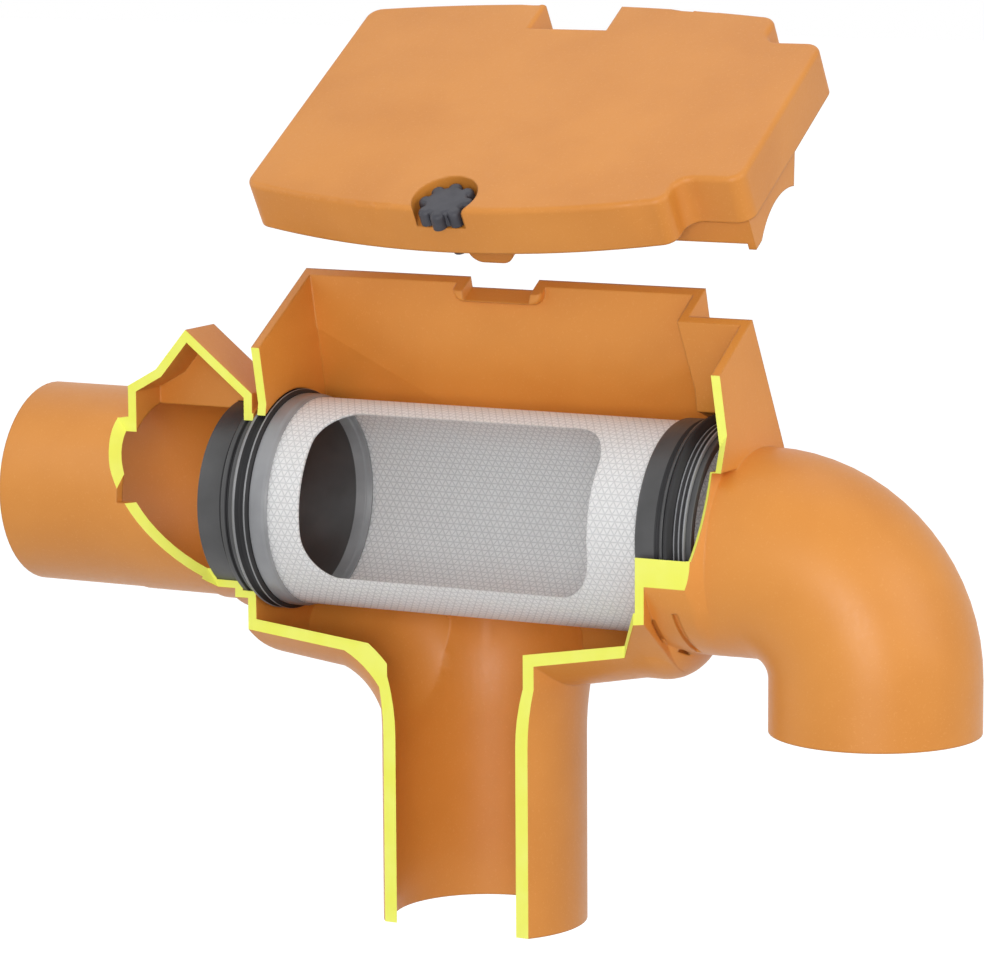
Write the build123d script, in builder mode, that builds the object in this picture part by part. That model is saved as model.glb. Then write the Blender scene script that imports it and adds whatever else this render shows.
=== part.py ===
"""Rainwater tank filter, sectioned: housing, screen cartridge with its seals, and the lid with its knob.

Millimetres. The origin is the centre of the inlet mouth, X runs along the flow and Z is up.
"""
import os
from math import acos, asin, atan2, cos, radians, sin, tan

from build123d import *

os.makedirs("parts", exist_ok=True)

# Pipes of the housing
pipe_diameter = 110.0
pipe_wall = 5.5
inlet_to_outlet = 271.0
outlet_to_overflow = 226.5
outlet_depth = 220.5
overflow_drop = 9.5
overflow_depth = 98.0
elbow_radius = 61.0
spigot_reach = 66.0
spigot_taper = 4.0
inlet_thickening = 0.6

# Trough and hopper, lengths taken from the outlet's axis
wall = 5.0
keel_radius = 41.0
keel_drop = 58.0
keel_drop_left = 42.5
keel_drop_right = 34.5
keel_right = 134.0
keel_round = 24.0
back_clearance = 7.0
front_reach = 116.0
trough_left = 126.0
trough_right = 124.0
trough_round_left = 18.0
trough_round_right = 12.0
hopper_left = 121.5
hopper_waist = 118.0
hopper_waist_depth = 25.5
hopper_right = 118.0
hopper_lean = 0.17
rim_angle = 31.4
rim_lift = 91.1
rim_back = 26.5

# Neck of the hopper over the overflow
neck_end = 154.0
neck_lean = 0.16
neck_back = 6.0
neck_back_slope = 0.25
neck_front = 86.0
neck_foot = 46.0

# Notch in the back wall, with its rounded lip inside
notch_width = 41.0
notch_draft = 1.0
notch_depth = 4.8
notch_lip_reach = 6.0
notch_lip_side = 6.0
notch_lip_drop = 12.6
notch_lip_corner = 6.0
notch_lip_round = 2.5

# Seats for the cartridge
seat_wall = 3.2
seat_gap = 0.2
inlet_seat_flare = 6.0
collar_length = 28.0
shoulder_length = 8.0

# Ridge over the inlet, lengths taken back from the outlet's axis
ridge_start = 200.0
ridge_step = 61.0
ridge_break = 182.0
ridge_break_height = 71.0
ridge_peak = 163.0
ridge_height = 93.5
ridge_end = 122.0
ridge_end_height = 61.0
ridge_back = 4.0
ridge_front = 70.0
ridge_root = 40.0

# Funnel and ramp into the outlet
funnel_radius = 58.0
funnel_rim = 66.0
funnel_top = 86.0
funnel_bottom = 118.0
funnel_throat = 40.0
ramp_radius = 36.0
ramp_step = 0.6

# Section planes: the cut depth, and each side plane's place and its leans in depth and height
cut_depth = 34.0
cut_floor = 62.0
left_cut = 155.2
left_cut_depth_lean = 0.6255
left_cut_height_lean = -0.6997
right_cut = 76.2
right_cut_depth_lean = -1.294
right_cut_height_lean = 0.68
collar_cut_depth = 60.9
collar_cut_drop = 6.0
collar_cut_start = 100.0
collar_cut_end = 118.0
floor_cut_start = 130.0
inlet_cut_end = 60.0

# Grooves in the collar: each one's place after the collar's start, first angle, arc and depth
groove_cut_width = 3.2
collar_grooves = [(19.0, 33.0, 35.0, 2.2), (4.5, 38.0, 17.0, 1.2), (9.5, 66.0, 12.0, 1.2)]

# Screen cartridge, lengths taken from the outlet's axis
fit_gap = 0.1
screen_radius = 56.0
screen_wall = 1.8
screen_start = 97.0
screen_end = 117.0
screen_engagement = 7.0
window_start = 82.0
window_end = 89.0
window_low_angle = -36.0
window_high_angle = 68.0
window_corner = 20.0
sleeve_start = 145.5
sleeve_step = 129.0
sleeve_drop = 2.5
sleeve_wall = 3.5
sleeve_lip = 3.0
sleeve_mouth_depth = 9.0
inlet_collar_rise = 1.4
inlet_collar_width = 8.0
groove_drop = 2.0
groove_width = 10.0
lip_rise = 4.0
lip_width = 2.2
inlet_band_width = 10.5
band_rise = 1.6
outlet_body_wall = 1.6
outlet_body_width = 14.0
outlet_flange_rise = 1.5
outlet_flange_width = 2.4
outlet_lip_rise = 3.3
outlet_lip_width = 5.0
outlet_band_width = 6.0
outlet_band_drop = 0.7
spigot_length = 3.0

# Lid, measured in its own plane: across from the outlet's axis, and up the slope from it
lid_plate = 5.0
lid_wall = 3.5
lid_depth = 28.0
lid_left = 127.5
lid_right = 120.5
lid_neck_end = 155.5
lid_back = 96.0
lid_back_bow = 8.7
lid_front = 69.0
lid_front_bow = 16.5
lid_neck_back = 73.5
lid_neck_front = 49.5
lid_edge_round = 3.0
lid_corner_round = 9.0
lid_notch_left = 22.0
lid_notch_right = 24.0
lid_notch_depth = 23.2
lid_lift_back = 79.4
lid_lift_up = 128.0

# Knob and its pocket in the lid
knob_place = 4.0
pocket_place = 74.0
pocket_radius = 18.0
pocket_depth = 12.0
knob_radius = 12.0
knob_lobe_radius = 3.8
knob_lobes = 8
knob_height = 9.0
knob_round = 2.5
knob_lift = 1.0
stud_radius = 4.0
stud_gap = 0.3
stud_length = 24.0
clip_radius = 6.0
clip_thickness = 1.5

# Under the lid: how far its parts overlap, its tongue, and the skirts of its neck.
# Heights are taken along the lid's normal from the outlet's axis, places up the slope from it.
lid_overlap = 1.0
tongue_width = 27.0
tongue_foot = 38.0
tongue_round = 8.0
tongue_place = 54.0
tongue_thickness = 12.0
skirt_start = 148.3
skirt_foot = 49.1
skirt_toe = 8.0
skirt_arch_top = 56.5
skirt_heel = 49.3
skirt_heel_place = 9.0
skirt_back = 38.0
apron_start = 95.0
apron_foot = 52.7
apron_thickness = 3.0

pipe_radius = pipe_diameter / 2
pipe_bore = pipe_radius - pipe_wall
back_radius = screen_radius + back_clearance
sleeve_radius = screen_radius - sleeve_drop
sleeve_bore = sleeve_radius - sleeve_wall
sleeve_mouth = sleeve_bore + sleeve_lip
inlet_collar_radius = screen_radius + inlet_collar_rise
groove_radius = screen_radius - groove_drop
lip_radius = screen_radius + lip_rise
band_radius = screen_radius + band_rise
outlet_body_radius = screen_radius + fit_gap + outlet_body_wall
outlet_flange_radius = outlet_body_radius + outlet_flange_rise
outlet_lip_radius = outlet_body_radius + outlet_lip_rise
outlet_band_radius = outlet_body_radius - outlet_band_drop
outlet_x = inlet_to_outlet
overflow_x = outlet_x + outlet_to_overflow
bend_x = overflow_x - elbow_radius
seat_bore = sleeve_radius + seat_gap
collar_seat_bore = inlet_collar_radius + seat_gap
collar_bore = outlet_lip_radius + seat_gap
collar_x = outlet_x + trough_right - wall
collar_end = collar_x + collar_length
shoulder_end = collar_end + shoulder_length
inlet_groove_x = outlet_x - sleeve_step + inlet_collar_width
inlet_groove_end = inlet_groove_x + groove_width
inlet_sleeve_end = outlet_x - screen_start
screen_bore = screen_radius - screen_wall
outlet_flange_x = outlet_x + screen_end + outlet_body_width
outlet_groove_x = outlet_flange_x + outlet_flange_width
outlet_groove_end = outlet_groove_x + outlet_lip_width
outlet_band_end = outlet_groove_end + outlet_band_width
outlet_seat_radius = screen_bore
lid_top = rim_lift + lid_plate
skirt_front = lid_neck_front - lid_wall + lid_overlap / 2
rim_slope = tan(radians(rim_angle))
rim_out = Vector(0, -sin(radians(rim_angle)), cos(radians(rim_angle)))
rim_up = Vector(0, cos(radians(rim_angle)), sin(radians(rim_angle)))
rim_plane = Plane(origin=rim_out * rim_lift + Vector(outlet_x, 0, 0), x_dir=(1, 0, 0), z_dir=rim_out)
along_rim = Plane(origin=(outlet_x, 0, 0), x_dir=(1, 0, 0), z_dir=-rim_up)
waist_z = (rim_lift - hopper_waist_depth) / cos(radians(rim_angle)) + rim_slope * rim_back
above_rim = 60.0
past = 5.0
lid_up = Vector(0, lid_lift_back, lid_lift_up)


def rim_z(y):
    """Height of the sloping rim at depth y."""
    return rim_lift / cos(radians(rim_angle)) + rim_slope * y


def keel_z(x):
    """Height of the keel's axis, which falls from both ends to the outlet."""
    end_drop, reach = (keel_drop_left, trough_left) if x < 0 else (keel_drop_right, trough_right)
    return (keel_drop - end_drop) * abs(x) / reach - keel_drop


def direction(angle):
    """Unit vector at an angle in a section plane."""
    return Vector(cos(angle), sin(angle))


def tangent_direction(point, centre, radius, turn):
    """Direction from the centre to where a line from the point touches the circle."""
    reach = point - centre
    return direction(atan2(reach.Y, reach.X) + turn * acos(radius / reach.length))


def bar(x0, x1, z, radius):
    """Round bar along X."""
    with BuildSketch(Plane.YZ.offset(x0)) as disc:
        with Locations((0, z)):
            Circle(radius)
    return extrude(disc.sketch, amount=x1 - x0)


def turned(points, z=0):
    """Solid turned about the cartridge's axis from points given as length along X and radius."""
    with BuildSketch(Plane.XZ) as profile:
        Polygon(*[(x, z + radius) for x, radius in points], align=None)
    return revolve(profile.sketch, axis=Axis((0, 0, z), (1, 0, 0)))


def trough_section(x, inset):
    """Cross-section of the trough, left tall above the rim, with its walls moved in by inset."""
    axis = Vector(0, 0)
    keel = Vector(0, keel_z(x))
    back_touch = tangent_direction(Vector(rim_back, waist_z), axis, back_radius, -1)
    back_y = rim_back - inset
    crease_z = (back_radius - inset - back_y * back_touch.X) / back_touch.Y
    front_touch = tangent_direction(Vector(-front_reach, 0), keel, keel_radius, 1)
    belly_touch = direction(-asin((back_radius - keel_radius) / -keel.Y))
    front_y = -front_reach + inset
    front_z = (keel_radius - inset - front_touch.X * front_y) / front_touch.Y + keel.Y
    with BuildSketch(Plane.YZ.offset(outlet_x + x)) as section:
        Circle(back_radius - inset)
        with Locations(keel):
            Circle(keel_radius - inset)
        Polygon(
            (back_y, rim_z(rim_back) + above_rim),
            (back_y, crease_z),
            back_touch * (back_radius - inset),
            belly_touch * (back_radius - inset),
            keel + belly_touch * (keel_radius - inset),
            keel + front_touch * (keel_radius - inset),
            (front_y, front_z),
            (front_y, rim_z(rim_back) + above_rim),
            align=None,
        )
    return section.sketch


def trough_sides(inset):
    """End walls of the trough and hopper, seen along the rim and left tall above it."""
    top = rim_lift + above_rim
    with BuildSketch(along_rim) as sides:
        Polygon(
            (-hopper_left - hopper_lean * above_rim + inset, top),
            (-hopper_waist + inset, rim_lift - hopper_waist_depth),
            (-trough_left + inset, 0),
            (-trough_left + inset, -2 * back_radius),
            (trough_right - inset, -2 * back_radius),
            (trough_right - inset, rim_lift - (trough_right - hopper_right) / hopper_lean),
            (hopper_right - hopper_lean * above_rim - inset, top),
            align=None,
        )
    return sides.sketch


def trough_floor(inset):
    """Side view of the trough with its sloping floor and rounded corners."""
    floor_left = keel_z(-trough_left) - keel_radius + inset
    floor_right = keel_z(trough_right) - keel_radius + inset
    with BuildSketch(Plane.XZ) as outline:
        Polygon(
            (outlet_x - trough_left + inset, 2 * rim_lift),
            (outlet_x - trough_left + inset, floor_left),
            (outlet_x, keel_z(0) - keel_radius + inset),
            (outlet_x + trough_right - inset, floor_right),
            (outlet_x + trough_right - inset, 2 * rim_lift),
            align=None,
        )
        low = outline.vertices().filter_by(lambda vertex: vertex.Y < 0).sort_by(Axis.X)
        fillet(low[0], radius=trough_round_left - inset)
        fillet(low[-1], radius=trough_round_right - inset)
    return outline.sketch


def trough(inset):
    """Trough and hopper: lofted to the outlet from both ends, cut to their side views."""
    reach = trough_left + 2 * wall
    with BuildPart(mode=Mode.PRIVATE) as block:
        loft([trough_section(-reach, inset), trough_section(0, inset)], ruled=True)
        loft([trough_section(0, inset), trough_section(reach, inset)], ruled=True)
        extrude(trough_sides(inset), amount=300, both=True, mode=Mode.INTERSECT)
        extrude(trough_floor(inset), amount=200, both=True, mode=Mode.INTERSECT)
    with BuildPart(mode=Mode.PRIVATE) as keel:
        keel_end = outlet_x + keel_right - inset
        bar(keel_end - 2 * keel_round, keel_end, keel_z(trough_right - keel_round), keel_radius - inset)
        fillet(keel.edges().filter_by(GeomType.CIRCLE).sort_by(Axis.X)[-1], radius=keel_round - inset)
    add(block.part)
    add(keel.part)


def neck(inset, floor):
    """Neck of the hopper over the collar, left tall above the rim and open below."""
    top = rim_z(rim_back) + above_rim
    back_top = neck_back + neck_back_slope * (rim_z(neck_back) - top)
    back_bottom = neck_back + neck_back_slope * (rim_z(neck_back) - floor)
    with BuildSketch(Plane.YZ) as section:
        Polygon(
            (back_top - inset, top),
            (back_bottom - inset, floor),
            (-cut_depth, floor),
            (-neck_front + inset, rim_z(-neck_front) - wall + inset),
            (-neck_front + inset, top),
            align=None,
        )
    with BuildSketch(along_rim) as sides:
        Polygon(
            (0, rim_lift + above_rim),
            (neck_end - neck_lean * above_rim - inset, rim_lift + above_rim),
            (neck_end + neck_lean * rim_lift - inset, 0),
            (0, 0),
            align=None,
        )
    with BuildSketch(Plane.XZ) as seat:
        Polygon(
            (outlet_x, top),
            (overflow_x, top),
            (overflow_x, neck_foot),
            (collar_end - inset, neck_foot - 2 * wall),
            (collar_end - inset, 0),
            (outlet_x, 0),
            align=None,
        )
    with BuildPart(mode=Mode.PRIVATE) as block:
        extrude(section.sketch, amount=outlet_x + 200)
        extrude(sides.sketch, amount=300, both=True, mode=Mode.INTERSECT)
        extrude(seat.sketch, amount=200, both=True, mode=Mode.INTERSECT)
    add(block.part)


def overflow(collar, pipe, run_past=0):
    """Collar, shoulder, overflow pipe and its elbow, at the given collar and pipe radii."""
    bar(collar_x - run_past, collar_end, 0, collar)
    with BuildSketch(Plane.YZ.offset(collar_end)) as wide_end:
        Circle(collar)
    with BuildSketch(Plane.YZ.offset(shoulder_end)) as narrow_end:
        with Locations((0, -overflow_drop)):
            Circle(pipe)
    loft([wide_end.sketch, narrow_end.sketch])
    bar(shoulder_end, bend_x, -overflow_drop, pipe)
    with BuildSketch(Plane.YZ.offset(bend_x)) as bend_start:
        with Locations((0, -overflow_drop)):
            Circle(pipe)
    bend_axis = Axis((bend_x, 0, -overflow_drop - elbow_radius), (0, 1, 0))
    revolve(bend_start.sketch, axis=bend_axis, revolution_arc=90)
    with BuildSketch(Plane.XY.offset(-overflow_depth - run_past)) as foot:
        with Locations((overflow_x, 0)):
            Circle(pipe)
    extrude(foot.sketch, amount=overflow_depth + run_past - overflow_drop - elbow_radius)


def outlet(inset, pipe, run_past=0):
    """Tank outlet with its funnel, and the ramp that turns the keel down into it."""
    foot = -outlet_depth - run_past
    funnel_edge = outlet_x + funnel_radius - inset
    throat = keel_z(0) + keel_radius / 2
    with BuildSketch(Plane.XZ) as profile:
        with BuildLine():
            Line((outlet_x, foot), (outlet_x + pipe, foot))
            Line((outlet_x + pipe, foot), (outlet_x + pipe, -funnel_bottom))
            TangentArc((outlet_x + pipe, -funnel_bottom), (funnel_edge, -funnel_top), tangent=(0, 1))
            Polyline(
                (funnel_edge, -funnel_top),
                (funnel_edge, -funnel_rim),
                (outlet_x + funnel_throat - inset, throat),
                (outlet_x, throat),
                (outlet_x, foot),
            )
        make_face()
    revolve(profile.sketch, axis=Axis((outlet_x, 0, 0), (0, 0, 1)))
    ramp_x = -pipe_radius - ramp_radius
    with BuildSketch(Plane.YZ.offset(outlet_x + ramp_x)) as keel_end:
        with Locations((0, keel_z(ramp_x))):
            Circle(keel_radius - ramp_step - inset)
            Rectangle(2 * keel_radius, keel_radius, align=(Align.CENTER, Align.MIN), mode=Mode.SUBTRACT)
    ramp_axis = Axis((outlet_x + ramp_x, 0, keel_z(ramp_x) - keel_radius - ramp_radius), (0, 1, 0))
    revolve(keel_end.sketch, axis=ramp_axis, revolution_arc=90)


def ridge(inset, root):
    """Roof-shaped ridge that stands on the inlet and is open to it."""
    with BuildSketch(Plane.XZ.offset(ridge_back + inset)) as profile:
        Polygon(
            (outlet_x - ridge_start, root - inset),
            (outlet_x - ridge_start, ridge_step),
            (outlet_x - ridge_break, ridge_break_height),
            (outlet_x - ridge_peak, ridge_height),
            (outlet_x - ridge_end, ridge_end_height),
            (outlet_x - ridge_end, root - inset),
            align=None,
        )
        if inset:
            offset(amount=-inset, kind=Kind.INTERSECTION)
    extrude(profile.sketch, amount=ridge_front - ridge_back - 2 * inset)


def notch_lip():
    """Rounded lip inside the back wall that goes round the notch."""
    low = rim_z(rim_back) - notch_lip_drop
    with BuildSketch(Plane.XZ.offset(wall / 2 - rim_back)) as face:
        with Locations((outlet_x, low)):
            Rectangle(
                notch_width + 2 * notch_lip_side, 2 * notch_lip_drop, align=(Align.CENTER, Align.MIN)
            )
        fillet(face.vertices().sort_by(Axis.Y)[:2], radius=notch_lip_corner)
    with BuildPart(mode=Mode.PRIVATE) as lip:
        extrude(face.sketch, amount=wall / 2 + notch_lip_reach)
        fillet(lip.faces().sort_by(Axis.Y)[0].edges(), radius=notch_lip_round)
        split(bisect_by=rim_plane, keep=Keep.BOTTOM)
    add(lip.part)


def notch():
    """Tapered notch down from the rim in the back wall and its lip."""
    with BuildSketch(along_rim) as opening:
        Polygon(
            (-notch_width / 2 - notch_draft, rim_lift + notch_depth),
            (-notch_width / 2 + notch_draft, rim_lift - notch_depth),
            (notch_width / 2 - notch_draft, rim_lift - notch_depth),
            (notch_width / 2 + notch_draft, rim_lift + notch_depth),
            align=None,
        )
    extrude(opening.sketch, amount=-2 * rim_lift, mode=Mode.SUBTRACT)


def collar_groove(x, start, arc, depth):
    """Groove round the outside of the collar over an arc, its start taken from the front downwards."""
    outside = collar_bore + seat_wall
    with BuildSketch(Plane.XY) as profile:
        with Locations((x, -outside)):
            Rectangle(groove_cut_width, 2 * depth)
    turned_profile = profile.sketch.rotate(Axis.X, start)
    revolve(turned_profile, axis=Axis.X, revolution_arc=arc, mode=Mode.SUBTRACT)


def section_tool():
    """What the section takes away in front of the cut planes."""
    far = 400.0
    left_plane = Plane(
        origin=(outlet_x - left_cut, 0, 0), z_dir=(1, -left_cut_depth_lean, -left_cut_height_lean)
    )
    right_plane = Plane(
        origin=(outlet_x + right_cut, 0, 0), z_dir=(1, -right_cut_depth_lean, -right_cut_height_lean)
    )
    with BuildPart(mode=Mode.PRIVATE) as upper:
        with Locations((outlet_x, -cut_depth, -collar_cut_drop)):
            Box(2 * far, far, far, align=(Align.CENTER, Align.MAX, Align.MIN))
        split(bisect_by=left_plane, keep=Keep.TOP)
        split(bisect_by=right_plane, keep=Keep.BOTTOM)
    with BuildPart(mode=Mode.PRIVATE) as inlet_side:
        with Locations((outlet_x - inlet_cut_end, -cut_depth, -collar_cut_drop)):
            Box(far, far, cut_floor - collar_cut_drop, align=(Align.MAX, Align.MAX, Align.MAX))
        split(bisect_by=left_plane, keep=Keep.TOP)
    with BuildSketch(Plane.XY.offset(-collar_cut_drop)) as plan:
        Polygon(
            (outlet_x - floor_cut_start, -cut_depth),
            (outlet_x + collar_cut_start, -cut_depth),
            (outlet_x + collar_cut_end, -collar_cut_depth),
            (collar_end + shoulder_length, -collar_cut_depth),
            (collar_end + shoulder_length, -far),
            (outlet_x - floor_cut_start, -far),
            align=None,
        )
    add(upper.part)
    add(inlet_side.part)
    extrude(plan.sketch, amount=-far)


with BuildPart() as body:
    trough(0)
    neck(0, collar_bore / 2)
    split(bisect_by=rim_plane, keep=Keep.BOTTOM)
    turned([
        (0, 0),
        (0, pipe_radius),
        (spigot_reach, pipe_radius),
        (spigot_reach + spigot_taper, pipe_radius + inlet_thickening),
        (outlet_x - trough_left + wall, pipe_radius + inlet_thickening),
        (outlet_x - trough_left + wall, 0),
    ])
    bar(outlet_x - sleeve_start - inlet_seat_flare, outlet_x - trough_left + wall, 0, seat_bore + seat_wall)
    bar(outlet_x - sleeve_step - wall, outlet_x - trough_left + wall, 0, collar_seat_bore + seat_wall)
    ridge(0, ridge_root)
    overflow(collar_bore + seat_wall, pipe_radius)
    outlet(0, pipe_radius)

with BuildPart() as hollow:
    trough(wall)
    neck(wall, 0)
    ridge(wall, 0)
    bar(-past, outlet_x - hopper_waist, 0, pipe_bore)
    bar(outlet_x - sleeve_start, outlet_x - trough_left + 2 * wall, 0, seat_bore)
    bar(outlet_x - sleeve_step - seat_gap, outlet_x - hopper_waist + wall, 0, collar_seat_bore)
    bar(inlet_groove_x - seat_gap, outlet_x - hopper_waist + 2 * wall, 0, lip_radius + seat_gap)
    overflow(collar_bore, pipe_bore, past)
    outlet(wall, pipe_bore, past)

with BuildPart() as front:
    section_tool()

with BuildPart() as housing:
    add(body.part)
    add(hollow.part, mode=Mode.SUBTRACT)
    notch_lip()
    notch()
    for place, start, arc, depth in collar_grooves:
        collar_groove(collar_x + place, start, arc, depth)
    add(front.part, mode=Mode.SUBTRACT)
housing.part.label = "housing"
export_step(housing.part, "parts/housing.step")

with BuildPart() as inlet_sleeve:
    turned([
        (outlet_x - sleeve_start, sleeve_bore),
        (outlet_x - sleeve_start, sleeve_radius),
        (outlet_x - sleeve_step, sleeve_radius),
        (outlet_x - sleeve_step, inlet_collar_radius),
        (inlet_groove_x, inlet_collar_radius),
        (inlet_groove_x, groove_radius),
        (inlet_groove_end, groove_radius),
        (inlet_groove_end, screen_bore - fit_gap),
        (inlet_sleeve_end, screen_bore - fit_gap),
        (inlet_sleeve_end, sleeve_mouth),
        (inlet_sleeve_end - sleeve_mouth_depth, sleeve_bore),
    ])
inlet_sleeve.part.label = "inlet_sleeve"
export_step(inlet_sleeve.part, "parts/inlet_sleeve.step")

with BuildPart() as inlet_seal:
    turned([
        (inlet_groove_x, groove_radius),
        (inlet_groove_x, lip_radius),
        (inlet_groove_x + lip_width, lip_radius),
        (inlet_groove_x + 2 * lip_width, inlet_collar_radius),
        (inlet_groove_end - 2 * lip_width, inlet_collar_radius),
        (inlet_groove_end - lip_width, lip_radius),
        (inlet_groove_end, lip_radius),
        (inlet_groove_end, groove_radius),
    ])
inlet_seal.part.label = "inlet_seal"
export_step(inlet_seal.part, "parts/inlet_seal.step")

with BuildPart() as inlet_band:
    turned([
        (inlet_groove_end, screen_radius + fit_gap),
        (inlet_groove_end, band_radius),
        (inlet_groove_end + inlet_band_width * 0.7, band_radius),
        (inlet_groove_end + inlet_band_width, screen_radius + 2 * fit_gap),
        (inlet_groove_end + inlet_band_width, screen_radius + fit_gap),
    ])
inlet_band.part.label = "inlet_band"
export_step(inlet_band.part, "parts/inlet_band.step")

with BuildPart() as screen:
    turned([
        (outlet_x - screen_start - screen_engagement, screen_bore),
        (outlet_x - screen_start - screen_engagement, screen_radius),
        (outlet_x + screen_end + screen_engagement, screen_radius),
        (outlet_x + screen_end + screen_engagement, screen_bore),
    ])
    window_angle = (window_low_angle + window_high_angle) / 2
    window_reach = 2 * screen_radius * sin(radians((window_high_angle - window_low_angle) / 2))
    facing = Vector(0, -cos(radians(window_angle)), sin(radians(window_angle)))
    window_plane = Plane(
        origin=(outlet_x + (window_end - window_start) / 2, 0, 0), x_dir=(1, 0, 0), z_dir=facing
    )
    with BuildSketch(window_plane) as window:
        RectangleRounded(window_start + window_end, window_reach, window_corner)
    extrude(window.sketch, amount=2 * screen_radius, mode=Mode.SUBTRACT)
screen.part.label = "screen"
export_step(screen.part, "parts/screen.step")

with BuildPart() as outlet_sleeve:
    turned([
        (outlet_x + screen_end, screen_radius + fit_gap),
        (outlet_x + screen_end, outlet_body_radius),
        (outlet_flange_x, outlet_body_radius),
        (outlet_flange_x + outlet_flange_width / 2, outlet_flange_radius),
        (outlet_groove_x, outlet_flange_radius),
        (outlet_groove_x, groove_radius),
        (outlet_groove_end, groove_radius),
        (outlet_groove_end, outlet_seat_radius),
        (outlet_band_end + spigot_length, outlet_seat_radius),
        (outlet_band_end + spigot_length, sleeve_bore),
        (outlet_x + screen_end + screen_engagement + fit_gap, sleeve_bore),
        (outlet_x + screen_end + screen_engagement + fit_gap, screen_radius + fit_gap),
    ])
outlet_sleeve.part.label = "outlet_sleeve"
export_step(outlet_sleeve.part, "parts/outlet_sleeve.step")

with BuildPart() as outlet_seal:
    turned([
        (outlet_groove_x, groove_radius),
        (outlet_groove_x, outlet_body_radius),
        (outlet_groove_x + outlet_lip_width / 3, outlet_lip_radius),
        (outlet_groove_x + outlet_lip_width * 2 / 3, outlet_lip_radius),
        (outlet_groove_end, outlet_body_radius),
        (outlet_groove_end, groove_radius),
    ])
outlet_seal.part.label = "outlet_seal"
export_step(outlet_seal.part, "parts/outlet_seal.step")

with BuildPart() as outlet_band:
    turned([
        (outlet_groove_end, outlet_seat_radius + fit_gap),
        (outlet_groove_end, outlet_band_radius),
        (outlet_band_end, outlet_band_radius),
        (outlet_band_end, outlet_seat_radius + fit_gap),
    ])
outlet_band.part.label = "outlet_band"
export_step(outlet_band.part, "parts/outlet_band.step")


def lid_plane(lift):
    """Plane parallel to the lid at a height along its normal."""
    return Plane(origin=Vector(outlet_x, 0, 0) + lid_up + rim_out * lift, x_dir=(1, 0, 0), z_dir=rim_out)


def lid_side(across):
    """Plane square to the lid's width, with its first axis up the slope."""
    return Plane(origin=Vector(outlet_x + across, 0, 0) + lid_up, x_dir=rim_up, z_dir=(1, 0, 0))


def lid_cross(place):
    """Plane square to the slope at a place up it, with its second axis along the lid's normal."""
    return Plane(origin=Vector(outlet_x, 0, 0) + lid_up + rim_up * place, x_dir=(1, 0, 0), z_dir=-rim_up)


def lid_outline(inset):
    """Plan of the lid with its bowed back and front, its notch and its neck."""
    left = -lid_left + inset
    right = lid_right - inset
    middle = (lid_right - lid_left) / 2
    back = lid_back - inset
    front = -lid_front + inset
    with BuildSketch() as plan:
        with BuildLine():
            ThreePointArc((left, back), (middle, back + lid_back_bow), (right, back))
            Polyline(
                (right, back),
                (right, lid_neck_back - inset),
                (lid_neck_end - inset, lid_neck_back - inset),
                (lid_neck_end - inset, -lid_neck_front + inset),
                (right, -lid_neck_front + inset),
                (right, front),
            )
            ThreePointArc((right, front), (middle, front - lid_front_bow), (left, front))
            Line((left, front), (left, back))
        make_face()
        fillet(plan.vertices(), radius=lid_corner_round - inset)
        with Locations(((lid_notch_right - lid_notch_left) / 2, lid_back + lid_back_bow - inset)):
            Rectangle(
                lid_notch_left + lid_notch_right + 2 * inset, 2 * lid_notch_depth, mode=Mode.SUBTRACT
            )
    return plan.sketch


def knob_spot():
    """Place of the knob in the lid's plane."""
    return (-knob_place, -pocket_place)


with BuildPart() as lid:
    with BuildSketch(lid_plane(lid_top - lid_depth)) as outer:
        add(lid_outline(0))
    extrude(outer.sketch, amount=lid_depth)
    fillet(lid.faces().sort_by(lambda face: face.center().dot(rim_out))[-1].edges(), radius=lid_edge_round)
    with BuildSketch(lid_plane(lid_top - lid_depth)) as inner:
        add(lid_outline(lid_wall))
    extrude(inner.sketch, amount=lid_depth - lid_plate, mode=Mode.SUBTRACT)
    root = rim_lift + lid_overlap
    with BuildSketch(lid_cross(tongue_thickness - tongue_place)) as tongue:
        with Locations((0, tongue_foot)):
            Rectangle(tongue_width, root - tongue_foot, align=(Align.CENTER, Align.MIN))
        fillet(tongue.vertices().sort_by(Axis.Y)[:2], radius=tongue_round)
    extrude(tongue.sketch, amount=tongue_thickness)
    with BuildSketch(lid_side(skirt_start)) as end_skirt:
        with BuildLine():
            Polyline(
                (skirt_heel_place, skirt_heel),
                (skirt_back, root),
                (-skirt_front, root),
                (-skirt_front, skirt_foot),
                (skirt_toe - skirt_front, skirt_foot),
            )
            ThreePointArc(
                (skirt_toe - skirt_front, skirt_foot),
                ((skirt_toe - skirt_front + skirt_heel_place) / 2, skirt_arch_top),
                (skirt_heel_place, skirt_heel),
            )
        make_face()
    extrude(end_skirt.sketch, amount=lid_neck_end - lid_wall + lid_overlap / 2 - skirt_start)
    with BuildSketch(lid_cross(apron_thickness - skirt_front)) as apron:
        with Locations((apron_start, apron_foot)):
            Rectangle(skirt_start + lid_overlap - apron_start, root - apron_foot, align=Align.MIN)
    extrude(apron.sketch, amount=apron_thickness)
    with BuildSketch(lid_plane(lid_top - pocket_depth - lid_plate)) as boss:
        with Locations(knob_spot()):
            Circle(pocket_radius + lid_wall)
        add(lid_outline(0), mode=Mode.INTERSECT)
    extrude(boss.sketch, amount=pocket_depth + lid_plate - lid_edge_round - lid_overlap)
    with BuildSketch(lid_plane(lid_top - pocket_depth)) as pocket:
        with Locations(knob_spot()):
            Circle(pocket_radius)
    extrude(pocket.sketch, amount=2 * pocket_depth, mode=Mode.SUBTRACT)
    with BuildSketch(lid_plane(lid_top - lid_depth)) as stud_hole:
        with Locations(knob_spot()):
            Circle(stud_radius + stud_gap)
    extrude(stud_hole.sketch, amount=lid_depth, mode=Mode.SUBTRACT)
lid.part.label = "lid"
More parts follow.
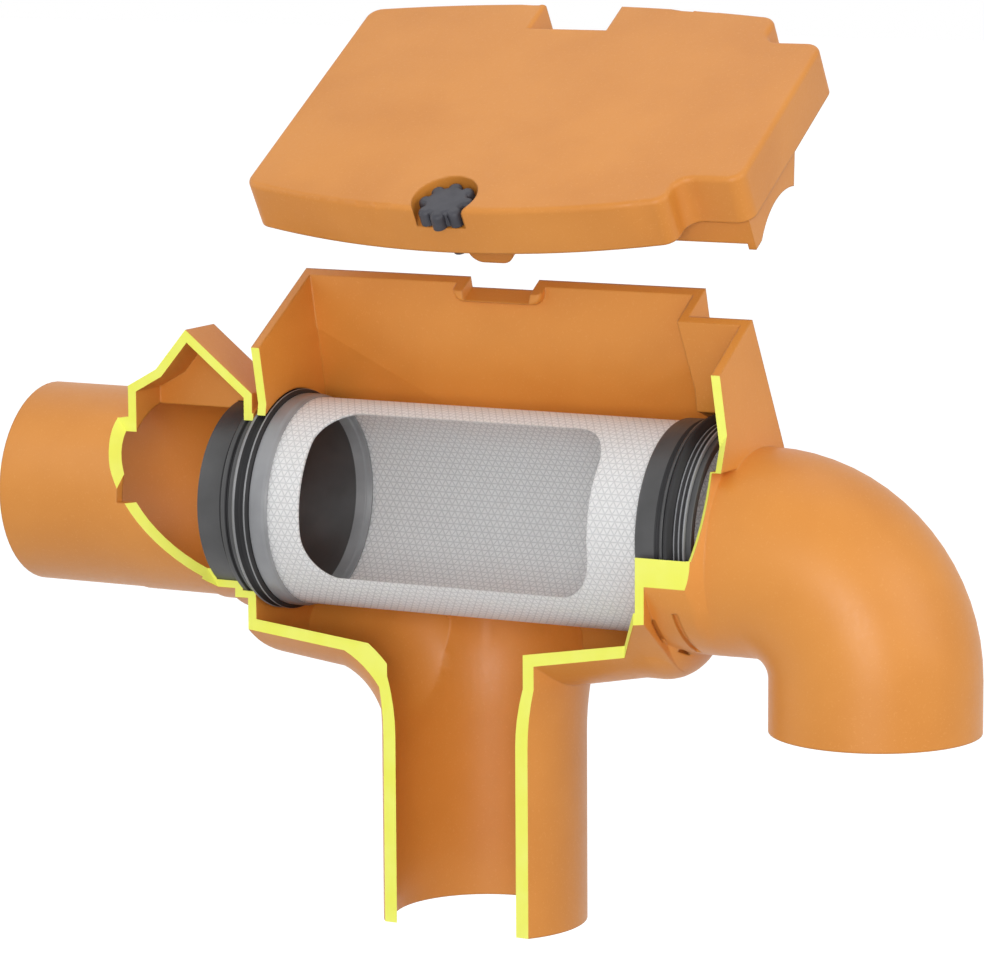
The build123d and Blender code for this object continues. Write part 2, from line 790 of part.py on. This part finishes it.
export_step(lid.part, "parts/lid.step")

with BuildPart() as lid_knob:
    with BuildSketch(lid_plane(lid_top - pocket_depth + knob_lift)) as grip:
        with Locations(knob_spot()):
            Circle(knob_radius)
            with PolarLocations(knob_radius, knob_lobes):
                Circle(knob_lobe_radius)
    extrude(grip.sketch, amount=knob_height)
    top = lid_knob.faces().sort_by(lambda face: face.center().dot(rim_out))[-1]
    fillet(top.edges(), radius=knob_round)
lid_knob.part.label = "lid_knob"
export_step(lid_knob.part, "parts/lid_knob.step")

with BuildPart() as knob_stud:
    with BuildSketch(lid_plane(lid_top - pocket_depth + knob_lift)) as shank:
        with Locations(knob_spot()):
            Circle(stud_radius)
    extrude(shank.sketch, amount=-stud_length)
knob_stud.part.label = "knob_stud"
export_step(knob_stud.part, "parts/knob_stud.step")

with BuildPart() as knob_clip:
    with BuildSketch(lid_plane(lid_top - pocket_depth - lid_plate - clip_thickness - fit_gap)) as washer:
        with Locations(knob_spot()):
            Circle(clip_radius)
            Circle(stud_radius + fit_gap, mode=Mode.SUBTRACT)
    extrude(washer.sketch, amount=clip_thickness)
knob_clip.part.label = "knob_clip"
export_step(knob_clip.part, "parts/knob_clip.step")
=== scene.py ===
"""Finishes, turned rings, light, floor and camera for the sectioned rainwater tank filter.

Metres, in the frame of the CAD: X runs from the inlet to the overflow, and the section faces -Y.
"""
import math

import bpy
import numpy as np
from mathutils import Matrix, Vector


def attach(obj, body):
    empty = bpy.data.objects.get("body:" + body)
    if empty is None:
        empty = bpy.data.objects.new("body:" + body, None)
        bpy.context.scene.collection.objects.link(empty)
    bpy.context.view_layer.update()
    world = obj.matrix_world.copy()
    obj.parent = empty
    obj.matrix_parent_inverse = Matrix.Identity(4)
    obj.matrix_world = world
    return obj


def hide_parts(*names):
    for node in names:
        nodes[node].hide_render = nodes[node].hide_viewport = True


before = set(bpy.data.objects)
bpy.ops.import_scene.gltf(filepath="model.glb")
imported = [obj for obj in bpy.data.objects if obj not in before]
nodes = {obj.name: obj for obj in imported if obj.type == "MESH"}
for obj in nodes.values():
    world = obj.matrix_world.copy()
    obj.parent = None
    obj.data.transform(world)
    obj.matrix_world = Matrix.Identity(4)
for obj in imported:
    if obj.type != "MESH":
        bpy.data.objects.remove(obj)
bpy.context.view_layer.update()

# Places on the filter
outlet_x = 0.271
shoulder_end = 0.426
screen_radius = 0.056

# Section: the cuts' depths and drops, their ends to the left and right of the outlet's axis, and the two
# leaning planes' places there, each with what its normal adds to (1, 0, 0) in depth and in height
cut_depth = 0.034
cut_floor = 0.062
floor_cut_start = 0.130
inlet_cut_end = 0.060
collar_cut_depth = 0.0609
collar_cut_drop = 0.006
collar_cut_start = 0.100
collar_cut_end = 0.118
left_cut = 0.1552
left_cut_leans = (-0.6255, 0.6997)
right_cut = 0.0762
right_cut_leans = (1.294, -0.68)

# Section planes, each a point and a normal
collar_cut_slant = (collar_cut_depth - cut_depth, collar_cut_end - collar_cut_start, 0)
cut_planes = (
    ((0, -cut_depth, 0), (0, -1, 0)),
    ((0, -collar_cut_depth, 0), (0, -1, 0)),
    ((outlet_x + collar_cut_start, -cut_depth, 0), collar_cut_slant),
    ((outlet_x - left_cut, 0, 0), (1, *left_cut_leans)),
    ((outlet_x + right_cut, 0, 0), (1, *right_cut_leans)),
    ((outlet_x - floor_cut_start, 0, 0), (1, 0, 0)),
    ((outlet_x - inlet_cut_end, 0, 0), (1, 0, 0)),
    ((shoulder_end, 0, 0), (1, 0, 0)),
    ((0, 0, -collar_cut_drop), (0, 0, 1)),
    ((0, 0, -cut_floor), (0, 0, 1)),
)

# How near a face's centre is to a section plane, and how well its normal follows the plane's
on_plane = 0.00005
along_plane = 0.9995

# Screen: rows of triangles round its whole circumference, half a strand's width as a share of a row, and
# the angle between the families of strands
lattice_rows = 100
strand_share = 0.16
strand_angle = math.radians(60)

# Turned rings: steps round the axis, how far back a corner's rounding starts, the largest share of a side
# that it takes, and the points of its curve
turning_steps = 256
corner_round = 0.0005
corner_share = 0.4
corner_points = 5
millimetres = 1000

# Outlines of the rings, as length from the outlet's axis and radius in millimetres, all the way round.
# A point's third value tells which of the ring's finishes the face that starts there takes. The rib highlight
# finish is painted highlight: pale grey on the crests and edges where they would catch the light.
inlet_sleeve_outline = (
    (-145.5, 50.0, 0), (-145.5, 53.5, 0), (-131.2, 53.5, 1), (-130.6, 52.8, 1), (-129.6, 52.8, 1),
    (-129.0, 54.0, 0), (-128.6, 57.4, 0), (-125.6, 57.4, 1), (-125.2, 56.3, 1), (-124.2, 56.3, 1),
    (-123.8, 57.4, 0), (-121.0, 57.4, 0), (-121.0, 54.0, 0), (-111.0, 54.0, 0), (-111.0, 54.1, 0),
    (-97.0, 54.1, 2), (-97.0, 53.0, 2), (-99.5, 52.2, 2), (-100.2, 51.4, 2), (-106.0, 50.0, 0),
)
inlet_seal_outline = (
    (-121.0, 54.0, 0), (-121.0, 58.6, 0), (-120.2, 59.4, 1), (-119.2, 60.0, 1), (-118.4, 59.0, 0),
    (-117.0, 57.4, 0), (-114.8, 57.4, 0), (-113.8, 59.0, 1), (-113.0, 60.0, 1), (-112.0, 59.4, 0),
    (-111.0, 58.2, 0), (-111.0, 54.0, 0),
)
inlet_band_outline = (
    (-111.0, 56.1, 0), (-111.0, 57.6, 0), (-103.6, 57.6, 0), (-101.6, 57.0, 1), (-100.5, 56.3, 0),
    (-100.5, 56.1, 0),
)
outlet_sleeve_outline = (
    (117.0, 56.1, 0), (117.0, 57.2, 0), (118.0, 57.7, 0), (128.6, 57.7, 1), (129.4, 57.0, 1),
    (130.4, 57.0, 1), (131.2, 58.0, 0), (132.2, 59.2, 0), (133.4, 59.2, 0), (133.4, 54.0, 0),
    (138.4, 54.0, 0), (138.4, 54.2, 0), (147.4, 54.2, 0), (147.4, 50.0, 0), (124.1, 50.0, 0),
    (124.1, 56.1, 0),
)
outlet_seal_outline = (
    (133.4, 54.0, 0), (133.4, 58.2, 0), (134.8, 60.6, 0), (135.6, 61.0, 0), (136.6, 60.4, 0),
    (138.4, 57.8, 0), (138.4, 54.0, 0),
)
outlet_band_outline = (
    (138.4, 54.3, 0), (138.4, 57.0, 0), (139.8, 57.0, 1), (140.2, 56.3, 1), (140.8, 56.3, 1),
    (141.2, 56.8, 0), (142.4, 56.8, 1), (142.8, 56.1, 1), (143.3, 56.1, 1), (143.6, 56.6, 0),
    (144.4, 56.6, 0), (144.4, 54.3, 0),
)

# Joining and smoothing of the CAD's triangles
weld_distance = 0.000002
smooth_angle = math.radians(32)

# Radius that the moulding's edges look rounded to, and the rays that find them
moulded_edge = 0.0016
edge_samples = 6

# Colours from 0 to 255: each finish's darker and lighter cloud, and what lies over them
orange_tones = ((216, 138, 54), (225, 147, 62))
orange_speck = (234, 166, 90)
cut_tones = ((250, 252, 104), (252, 255, 120))
ring_tones = ((64, 64, 65), (76, 76, 77))
seal_tones = ((30, 30, 32), (40, 40, 42))
band_tones = ((136, 137, 140), (152, 153, 156))
# Painted highlight: pale grey for the rings' crests and edges, in place of the light they catch
rib_highlight_tones = ((128, 129, 131), (148, 149, 151))
cloth_tones = ((243, 244, 245), (254, 254, 254))
strand_colour = (160, 162, 165)
knob_tones = ((58, 58, 65), (72, 72, 79))
clip_tones = ((176, 178, 180), (206, 207, 208))
floor_tones = ((186, 186, 186), (190, 190, 190))

# How strongly the specks and the strands show, and how much light spreads inside the cloth, how far, and
# the shares of that reach for red, green and blue
speck_strength = 0.25
strand_strength = 0.55
cloth_glow = 0.7
cloth_glow_reach = 0.006
cloth_glow_shares = (1.0, 1.0, 1.0)

# Camera, found from the pipes and the rim in the photograph
camera_target = Vector((0.2763, 0, 0.0126))
camera_distance = 2.463
camera_azimuth = math.radians(27.63)
camera_elevation = math.radians(8.86)
camera_roll = math.radians(-0.33)
camera_lens = 169.57
camera_sensor = 36.0

# Studio: the room's light on the filter, and how brightly the floor shows itself to the camera
floor_height = -0.5
floor_reach = 12.0
floor_glow = 0.8
room_light = 0.5
white = (1.0, 1.0, 1.0)
warm_white = (1.0, 0.99, 0.96)

# Lamps: name, direction from the filter, distance, width, power in watts and colour
lamps = (
    ("key", (0.92, -0.18, 0.42), 2.2, 1.5, 12.5, warm_white),
    ("front", (0.36, -0.91, 0.15), 2.6, 0.9, 26.0, white),
    ("side", (-0.9, -0.45, 0.4), 2.4, 1.6, 8.0, white),
    ("top", (-0.1, 0.25, 1.0), 2.2, 1.6, 6.0, white),
)


def srgb(colour):
    """Linear colour of an sRGB one given from 0 to 255, by the standard power curve."""
    def linear(value):
        share = value / 255
        return share / 12.92 if share <= 0.04045 else ((share + 0.055) / 1.055) ** 2.4
    return (*map(linear, colour), 1)


def add_node(tree, kind, **settings):
    """Adds a node and sets its named properties."""
    made = tree.nodes.new(kind)
    for name, value in settings.items():
        setattr(made, name, value)
    return made


def feed(tree, socket, value):
    """Links a socket to the input, or sets the input to a plain value."""
    if isinstance(value, bpy.types.NodeSocket):
        tree.links.new(value, socket)
    else:
        socket.default_value = value


def math_node(tree, operation, first, second):
    """Result of a sum on two values."""
    made = add_node(tree, "ShaderNodeMath", operation=operation)
    feed(tree, made.inputs[0], first)
    feed(tree, made.inputs[1], second)
    return made.outputs[0]


def blend(tree, share, low, high):
    """Colour between two colours, through the Mix node's sockets for colour."""
    made = add_node(tree, "ShaderNodeMix", data_type="RGBA")
    low_socket, high_socket = [socket for socket in made.inputs if socket.type == "RGBA"]
    result, = [socket for socket in made.outputs if socket.type == "RGBA"]
    feed(tree, made.inputs["Factor"], share)
    feed(tree, low_socket, low)
    feed(tree, high_socket, high)
    return result


def clouded(tree, share, tones):
    """Colour between a finish's two tones, given from 0 to 255."""
    low, high = tones
    return blend(tree, share, srgb(low), srgb(high))


def varied(tree, value, lowest, spread):
    """Value from 0 to 1 brought to run from the lowest over the spread."""
    return math_node(tree, "ADD", math_node(tree, "MULTIPLY", value, spread), lowest)


def noise(tree, place, scale, detail):
    """Value of a noise at a place."""
    made = add_node(tree, "ShaderNodeTexNoise")
    feed(tree, made.inputs["Vector"], place)
    feed(tree, made.inputs["Scale"], scale)
    feed(tree, made.inputs["Detail"], detail)
    return made.outputs["Fac"]


def ramp(tree, value, low, high):
    """Value stretched so that low becomes 0 and high becomes 1."""
    made = add_node(tree, "ShaderNodeMapRange", clamp=True)
    feed(tree, made.inputs["Value"], value)
    feed(tree, made.inputs["From Min"], low)
    feed(tree, made.inputs["From Max"], high)
    return made.outputs["Result"]


def new_effect(name, inputs, outputs):
    """Shader group with named inputs, each with its usual value, and named outputs."""
    tree = bpy.data.node_groups.new(name, "ShaderNodeTree")
    for label, value in inputs.items():
        socket = tree.interface.new_socket(label, in_out="INPUT", socket_type="NodeSocketFloat")
        socket.default_value = value
    for label in outputs:
        tree.interface.new_socket(label, in_out="OUTPUT", socket_type="NodeSocketFloat")
    return tree, add_node(tree, "NodeGroupInput").outputs, add_node(tree, "NodeGroupOutput").inputs


def moulded_grain_effect():
    """Slow clouds of tone, a fine orange peel and rare paler specks, as on rotomoulded plastic."""
    tree, given, put = new_effect(
        "moulded_grain",
        {"Cloud Scale": 14.0, "Peel Scale": 420.0, "Speck Scale": 900.0},
        ("Cloud", "Peel", "Speck"),
    )
    place = add_node(tree, "ShaderNodeTexCoord").outputs["Object"]
    cloud = noise(tree, place, given["Cloud Scale"], detail=3.0)
    speck = noise(tree, place, given["Speck Scale"], detail=1.0)
    feed(tree, put["Cloud"], ramp(tree, cloud, low=0.35, high=0.65))
    feed(tree, put["Peel"], noise(tree, place, given["Peel Scale"], detail=2.0))
    feed(tree, put["Speck"], ramp(tree, speck, low=0.62, high=0.72))
    return tree


def turning_effect():
    """Fine rings round the pipe's axis, from a noise that is read along X alone."""
    tree, given, put = new_effect("turning_rings", {"Rings": 900.0}, ("Ring",))
    place = add_node(tree, "ShaderNodeTexCoord").outputs["Object"]
    parts = add_node(tree, "ShaderNodeSeparateXYZ")
    feed(tree, parts.inputs[0], place)
    along = add_node(tree, "ShaderNodeCombineXYZ")
    feed(tree, along.inputs["X"], parts.outputs["X"])
    feed(tree, put["Ring"], noise(tree, along.outputs[0], given["Rings"], detail=2.0))
    return tree


def lattice_effect():
    """Triangular lattice on a cylinder about X: three families of strands, one along X and two at 60 degrees.

    A row's height is the circumference over the number of rows. The first family counts the rows round the
    axis. The other two count half of them, plus or minus the length over the same height times the sine of
    the strands' angle, so all three meet in shared corners.
    """
    half_row = 0.5
    tree, given, put = new_effect(
        "triangle_lattice",
        {"Rows": lattice_rows, "Radius": screen_radius, "Strand": strand_share},
        ("Line",),
    )
    parts = add_node(tree, "ShaderNodeSeparateXYZ")
    feed(tree, parts.inputs[0], add_node(tree, "ShaderNodeTexCoord").outputs["Object"])
    turn = math_node(tree, "ARCTAN2", parts.outputs["Z"], parts.outputs["Y"])
    rows = math_node(tree, "MULTIPLY", turn, math_node(tree, "DIVIDE", given["Rows"], 2 * math.pi))
    round_length = math_node(tree, "MULTIPLY", given["Radius"], 2 * math.pi)
    height = math_node(tree, "DIVIDE", round_length, given["Rows"])
    length = math_node(tree, "DIVIDE", parts.outputs["X"], height)
    slant = math_node(tree, "MULTIPLY", length, math.sin(strand_angle))
    half = math_node(tree, "MULTIPLY", rows, half_row)
    nearest = None
    for count in (rows, math_node(tree, "ADD", slant, half), math_node(tree, "SUBTRACT", slant, half)):
        away = math_node(tree, "PINGPONG", count, half_row)
        nearest = away if nearest is None else math_node(tree, "MINIMUM", nearest, away)
    feed(tree, put["Line"], ramp(tree, nearest, low=given["Strand"], high=0.0))
    return tree


moulded_grain = moulded_grain_effect()
turning_rings = turning_effect()
triangle_lattice = lattice_effect()


def new_finish(name, roughness, specular=0.5):
    """Material with a Principled surface, its own tree and the place for an effect group."""
    finish = bpy.data.materials.new(name)
    finish.use_nodes = True
    tree = finish.node_tree
    surface = tree.nodes["Principled BSDF"]
    surface.inputs["Roughness"].default_value = roughness
    surface.inputs["Specular IOR Level"].default_value = specular
    return finish, tree, surface.inputs


def use_effect(tree, effect, **values):
    """Places an effect group in a material with the material's own values."""
    made = add_node(tree, "ShaderNodeGroup", node_tree=effect)
    for label, value in values.items():
        made.inputs[label.replace("_", " ")].default_value = value
    return made.outputs


def bump(tree, height, strength, distance, edge_radius=0.0):
    """Normal of a bump map, over edges that are shaded as if rounded to a radius."""
    made = add_node(tree, "ShaderNodeBump")
    made.inputs["Strength"].default_value = strength
    made.inputs["Distance"].default_value = distance
    feed(tree, made.inputs["Height"], height)
    if edge_radius:
        edge = add_node(tree, "ShaderNodeBevel", samples=edge_samples)
        edge.inputs["Radius"].default_value = edge_radius
        feed(tree, made.inputs["Normal"], edge.outputs["Normal"])
    return made.outputs["Normal"]


def orange_finish():
    """Rotomoulded orange plastic: satin, slightly clouded, with a fine peel and pale specks."""
    finish, tree, surface = new_finish("orange_plastic", roughness=0.42)
    grain = use_effect(tree, moulded_grain, Cloud_Scale=14.0, Peel_Scale=420.0, Speck_Scale=900.0)
    tone = clouded(tree, grain["Cloud"], orange_tones)
    speck_share = math_node(tree, "MULTIPLY", grain["Speck"], speck_strength)
    relief = bump(tree, grain["Peel"], strength=0.12, distance=0.0003, edge_radius=moulded_edge)
    feed(tree, surface["Base Color"], blend(tree, speck_share, tone, srgb(orange_speck)))
    feed(tree, surface["Roughness"], varied(tree, grain["Peel"], lowest=0.36, spread=0.16))
    feed(tree, surface["Normal"], relief)
    return finish


def cut_finish():
    """Bright yellow of the sectioned wall, matt and faintly uneven."""
    finish, tree, surface = new_finish("cut_face", roughness=0.6, specular=0.2)
    grain = use_effect(tree, moulded_grain, Cloud_Scale=60.0, Peel_Scale=700.0, Speck_Scale=1200.0)
    feed(tree, surface["Base Color"], clouded(tree, grain["Cloud"], cut_tones))
    feed(tree, surface["Normal"], bump(tree, grain["Peel"], strength=0.05, distance=0.0002))
    return finish


def ring_finish(name, tones, roughness, specular=0.5):
    """Plastic of a turned ring, between two greys, with fine rings round its axis."""
    roughness_spread = 0.2
    peel_height = 0.4
    finish, tree, surface = new_finish(name, roughness, specular)
    grain = use_effect(tree, moulded_grain, Cloud_Scale=40.0, Peel_Scale=600.0, Speck_Scale=900.0)
    rings = use_effect(tree, turning_rings, Rings=900.0)
    lowest = roughness - roughness_spread / 2
    height = math_node(tree, "ADD", rings["Ring"], math_node(tree, "MULTIPLY", grain["Peel"], peel_height))
    feed(tree, surface["Base Color"], clouded(tree, grain["Cloud"], tones))
    feed(tree, surface["Roughness"], varied(tree, rings["Ring"], lowest, roughness_spread))
    feed(tree, surface["Normal"], bump(tree, height, strength=0.12, distance=0.0002))
    return finish


def screen_finish():
    """White woven screen under a lattice of grey triangles."""
    finish, tree, surface = new_finish("screen_mesh", roughness=0.5, specular=0.3)
    lattice = use_effect(tree, triangle_lattice)
    grain = use_effect(tree, moulded_grain, Cloud_Scale=30.0, Peel_Scale=1500.0, Speck_Scale=900.0)
    cloth = clouded(tree, grain["Peel"], cloth_tones)
    line_share = math_node(tree, "MULTIPLY", lattice["Line"], strand_strength)
    feed(tree, surface["Subsurface Weight"], cloth_glow)
    feed(tree, surface["Subsurface Radius"], cloth_glow_shares)
    feed(tree, surface["Subsurface Scale"], cloth_glow_reach)
    feed(tree, surface["Base Color"], blend(tree, line_share, cloth, srgb(strand_colour)))
    feed(tree, surface["Normal"], bump(tree, lattice["Line"], strength=0.3, distance=0.0003))
    return finish


def knob_finish():
    """Slate-blue plastic of the knob, with the moulding's fine grain."""
    finish, tree, surface = new_finish("knob_plastic", roughness=0.5, specular=0.4)
    grain = use_effect(tree, moulded_grain, Cloud_Scale=90.0, Peel_Scale=900.0, Speck_Scale=1500.0)
    feed(tree, surface["Base Color"], clouded(tree, grain["Cloud"], knob_tones))
    feed(tree, surface["Normal"], bump(tree, grain["Peel"], strength=0.15, distance=0.0002))
    return finish


def clip_finish():
    """Zinc-plated steel of the clip, with faint clouding in the plating."""
    finish, tree, surface = new_finish("clip_steel", roughness=0.32)
    grain = use_effect(tree, moulded_grain, Cloud_Scale=200.0, Peel_Scale=1500.0, Speck_Scale=2500.0)
    feed(tree, surface["Metallic"], 1.0)
    feed(tree, surface["Base Color"], clouded(tree, grain["Cloud"], clip_tones))
    feed(tree, surface["Roughness"], varied(tree, grain["Peel"], lowest=0.22, spread=0.2))
    feed(tree, surface["Normal"], bump(tree, grain["Peel"], strength=0.08, distance=0.0001))
    return finish


def soft_edges_group():
    """Geometry group that shades a mesh smooth except where two faces meet at more than an angle."""
    tree = bpy.data.node_groups.new("smooth_by_angle", "GeometryNodeTree")
    tree.interface.new_socket("Geometry", in_out="INPUT", socket_type="NodeSocketGeometry")
    limit = tree.interface.new_socket("Angle", in_out="INPUT", socket_type="NodeSocketFloat")
    limit.default_value = smooth_angle
    tree.interface.new_socket("Geometry", in_out="OUTPUT", socket_type="NodeSocketGeometry")
    given = add_node(tree, "NodeGroupInput").outputs
    faces = add_node(tree, "GeometryNodeSetShadeSmooth", domain="FACE")
    edges = add_node(tree, "GeometryNodeSetShadeSmooth", domain="EDGE")
    angle = add_node(tree, "GeometryNodeInputMeshEdgeAngle").outputs["Unsigned Angle"]
    gentle = add_node(tree, "FunctionNodeCompare", data_type="FLOAT", operation="LESS_EQUAL")
    feed(tree, gentle.inputs[0], angle)
    feed(tree, gentle.inputs[1], given["Angle"])
    feed(tree, faces.inputs["Geometry"], given["Geometry"])
    faces.inputs["Shade Smooth"].default_value = True
    feed(tree, edges.inputs["Geometry"], faces.outputs[0])
    feed(tree, edges.inputs["Shade Smooth"], gentle.outputs[0])
    feed(tree, add_node(tree, "NodeGroupOutput").inputs[0], edges.outputs[0])
    return tree


soft_edges = soft_edges_group()


def smooth(piece):
    """Joins a CAD node's loose triangles and shades its gentle edges smooth."""
    weld = piece.modifiers.new("weld", "WELD")
    weld.merge_threshold = weld_distance
    smoothing = piece.modifiers.new("smooth", "NODES")
    smoothing.node_group = soft_edges


def dress(node, *finishes):
    """Gives a CAD node its finishes and joins its triangles."""
    piece = nodes[node]
    piece.data.materials.clear()
    for finish in finishes:
        piece.data.materials.append(finish)
    smooth(piece)


def rounded_outline(outline):
    """Closed outline with each corner drawn as a short quadratic curve, and the finish of each of its steps.

    A corner B between the points A and C that lie a little way along its two sides becomes
    (1-t)^2 A + 2 t (1-t) B + t^2 C with t from 0 to 1.
    """
    rows = np.array(outline, float)
    corner = rows[:, :2] / millimetres
    after = np.roll(corner, -1, axis=0)
    side = np.linalg.norm(after - corner, axis=1)[:, None]
    start_side = np.roll(side, 1, axis=0)
    reach_before = np.minimum(corner_round, start_side * corner_share)
    reach_after = np.minimum(corner_round, side * corner_share)
    before = corner + (np.roll(corner, 1, axis=0) - corner) / start_side * reach_before
    beyond = corner + (after - corner) / side * reach_after
    t = np.linspace(0, 1, corner_points)[:, None, None]
    curve = (1 - t) ** 2 * before + 2 * t * (1 - t) * corner + t ** 2 * beyond
    finish = np.repeat(rows[:, 2].astype(np.int32), len(t))
    return curve.transpose(1, 0, 2).reshape(-1, 2), finish


def turned_ring(node, slot, outline, *finishes):
    """Ring turned about the X axis that stands for a CAD node and takes the finishes it is given; the slot is
    not used.

    The point of the outline at length x and radius r goes round as (x, r cos a, r sin a), with a from 0 to a
    full turn. The outline runs along +X on its outside, so the faces point outwards.
    """
    points, finish = rounded_outline(outline)
    turn = np.linspace(0, 2 * math.pi, turning_steps, endpoint=False)
    place = np.empty((turning_steps, len(points), 3))
    place[..., 0] = outlet_x + points[:, 0]
    place[..., 1] = np.cos(turn)[:, None] * points[:, 1]
    place[..., 2] = np.sin(turn)[:, None] * points[:, 1]
    step, column = np.meshgrid(np.arange(turning_steps), np.arange(len(points)), indexing="ij")
    next_step = (step + 1) % turning_steps
    next_column = (column + 1) % len(points)
    corners = [step * len(points) + column, next_step * len(points) + column,
               next_step * len(points) + next_column, step * len(points) + next_column]
    faces = np.stack(corners, axis=-1).reshape(-1, 4)
    mesh = bpy.data.meshes.new(node + "_turned")
    mesh.from_pydata(place.reshape(-1, 3).tolist(), [], faces.tolist())
    mesh.polygons.foreach_set("use_smooth", np.ones(len(faces), bool))
    for finish_used in finishes:
        mesh.materials.append(finish_used)
    mesh.polygons.foreach_set("material_index", np.tile(finish, turning_steps))
    ring = bpy.data.objects.new(node + "_turned", mesh)
    bpy.context.collection.objects.link(ring)
    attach(ring, "root")
    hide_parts(node)


def paint_cuts(node):
    """Puts the second finish on the faces that lie in a section plane and face along its normal."""
    mesh = nodes[node].data
    count = len(mesh.polygons)
    centre = np.empty(3 * count)
    normal = np.empty(3 * count)
    mesh.polygons.foreach_get("center", centre)
    mesh.polygons.foreach_get("normal", normal)
    centre = centre.reshape(count, 3)
    normal = normal.reshape(count, 3)
    cut = np.zeros(count, bool)
    for point, facing in cut_planes:
        facing = np.array(facing, float) / np.linalg.norm(facing)
        near = np.abs((centre - np.array(point)) @ facing) < on_plane
        cut |= near & (np.abs(normal @ facing) > along_plane)
    mesh.polygons.foreach_set("material_index", cut.astype(np.int32))


def area_light(name, direction, distance, width, power, colour):
    """Square lamp that looks at the filter from a direction."""
    lamp = bpy.data.lights.new(name, "AREA")
    lamp.size = width
    lamp.energy = power
    lamp.color = colour
    made = bpy.data.objects.new(name, lamp)
    towards = Vector(direction).normalized()
    made.location = camera_target + towards * distance
    made.rotation_euler = towards.to_track_quat("Z", "Y").to_euler()
    bpy.context.collection.objects.link(made)


def seen_directly(tree):
    """1 where a ray comes from the camera, a glossy surface or glass, and 0 where it lights the filter."""
    sight = add_node(tree, "ShaderNodeLightPath").outputs
    seen = math_node(tree, "MAXIMUM", sight["Is Camera Ray"], sight["Is Transmission Ray"])
    return math_node(tree, "MAXIMUM", seen, sight["Is Glossy Ray"])


def room():
    """World that is white to the camera and lights the filter evenly from all round."""
    world = bpy.data.worlds.new("studio")
    bpy.context.scene.world = world
    world.use_nodes = True
    tree = world.node_tree
    tree.nodes.clear()
    background = add_node(tree, "ShaderNodeBackground")
    background.inputs["Color"].default_value = (*white, 1)
    strength = varied(tree, seen_directly(tree), lowest=room_light, spread=1 - room_light)
    feed(tree, background.inputs["Strength"], strength)
    feed(tree, add_node(tree, "ShaderNodeOutputWorld").inputs["Surface"], background.outputs[0])


def pale_floor():
    """Square floor well under the hanging filter, which shows itself near white and keeps the shadow."""
    mesh = bpy.data.meshes.new("floor")
    corners = np.array(((-1, -1), (1, -1), (1, 1), (-1, 1)), float) * floor_reach
    mesh.from_pydata([(x, y, floor_height) for x, y in corners], [], [(0, 1, 2, 3)])
    floor = bpy.data.objects.new("floor", mesh)
    bpy.context.collection.objects.link(floor)
    finish, tree, surface = new_finish("floor_paint", roughness=0.9, specular=0.1)
    grain = use_effect(tree, moulded_grain, Cloud_Scale=1.5, Peel_Scale=80.0, Speck_Scale=200.0)
    glow = math_node(tree, "MULTIPLY", seen_directly(tree), floor_glow)
    feed(tree, surface["Base Color"], clouded(tree, grain["Cloud"], floor_tones))
    feed(tree, surface["Emission Color"], (*white, 1))
    feed(tree, surface["Emission Strength"], glow)
    mesh.materials.append(finish)


def camera():
    """Camera at the photograph's angle: azimuth from the front towards the right, then elevation and roll."""
    data = bpy.data.cameras.new("camera")
    data.sensor_fit = "HORIZONTAL"
    data.sensor_width = camera_sensor
    data.lens = camera_lens
    back = Vector((
        math.sin(camera_azimuth) * math.cos(camera_elevation),
        -math.cos(camera_azimuth) * math.cos(camera_elevation),
        math.sin(camera_elevation),
    ))
    level = Vector((math.cos(camera_azimuth), math.sin(camera_azimuth), 0))
    upright = back.cross(level)
    right = level * math.cos(camera_roll) + upright * math.sin(camera_roll)
    up = upright * math.cos(camera_roll) - level * math.sin(camera_roll)
    turn = Matrix((right, up, back)).transposed().to_4x4()
    made = bpy.data.objects.new("camera", data)
    made.matrix_world = Matrix.Translation(camera_target + back * camera_distance) @ turn
    bpy.context.collection.objects.link(made)
    bpy.context.scene.camera = made


orange = orange_finish()
cut_face = cut_finish()
ring_plastic = ring_finish("dark_plastic", ring_tones, roughness=0.42)
seal_rubber = ring_finish("seal_rubber", seal_tones, roughness=0.6, specular=0.35)
band_metal = ring_finish("grey_band", band_tones, roughness=0.36)
# Painted highlight on the rings' crests and edges, as a pale grey finish
rib_highlight = ring_finish("painted_rib_highlight", rib_highlight_tones, roughness=0.4)
screen_mesh = screen_finish()
knob_plastic = knob_finish()

dress("housing", orange, cut_face)
paint_cuts("housing")
dress("lid", orange)
turned_ring("inlet_sleeve", "dark_plastic", inlet_sleeve_outline, ring_plastic, seal_rubber, rib_highlight)
turned_ring("inlet_seal", "seal_rubber", inlet_seal_outline, seal_rubber, rib_highlight)
turned_ring("inlet_band", "grey_band", inlet_band_outline, band_metal, rib_highlight)
turned_ring("outlet_sleeve", "dark_plastic", outlet_sleeve_outline, ring_plastic, seal_rubber)
turned_ring("outlet_seal", "seal_rubber", outlet_seal_outline, seal_rubber)
turned_ring("outlet_band", "grey_band", outlet_band_outline, band_metal, seal_rubber)
dress("screen", screen_mesh)
dress("lid_knob", knob_plastic)
dress("knob_stud", knob_plastic)
dress("knob_clip", clip_finish())

room()
pale_floor()
for lamp in lamps:
    area_light(*lamp)
camera()
bpy.context.scene.view_settings.view_transform = "Standard"
